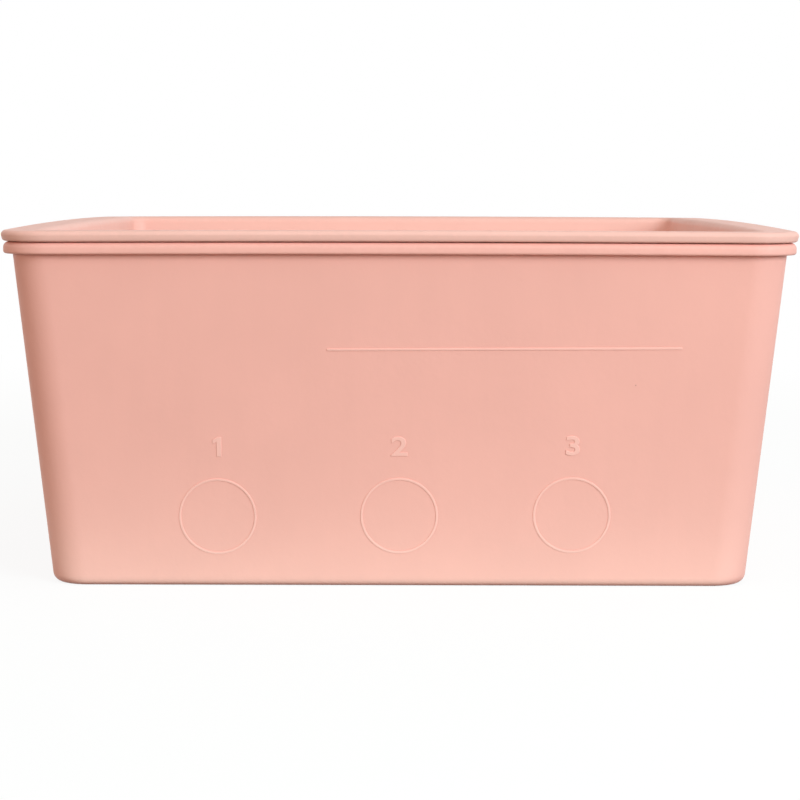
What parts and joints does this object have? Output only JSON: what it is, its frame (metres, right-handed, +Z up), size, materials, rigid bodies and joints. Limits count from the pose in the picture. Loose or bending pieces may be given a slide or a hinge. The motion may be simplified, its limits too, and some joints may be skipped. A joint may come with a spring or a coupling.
{
  "type": "lidded feeder",
  "caption": "Stackable feed box: a moulded tub with drafted walls and a lipped mouth, closed by a recessed drop-on lid, with a raised line and rings on its front.",
  "frame": {"origin": "centre of the plane the foot stands on, midway between the sides", "axes": "+X across the marked front, +Y from the marked front to the back, +Z up"},
  "size_m": [0.32, 0.36, 0.1452],
  "materials": {
    "tub_plastic": "satin moulded polypropylene, salmon pink",
    "lid_plastic": "satin moulded polypropylene, salmon pink"
  },
  "bodies": {
    "tub": {"feed_tub": "tub_plastic"},
    "lid": {"lid": "lid_plastic"}
  },
  "joints": [
    {"name": "lid_lift", "type": "slide", "parent": "tub", "child": "lid", "axis": [0, 0, 1], "range_m": [0, 0.2]}
  ]
}
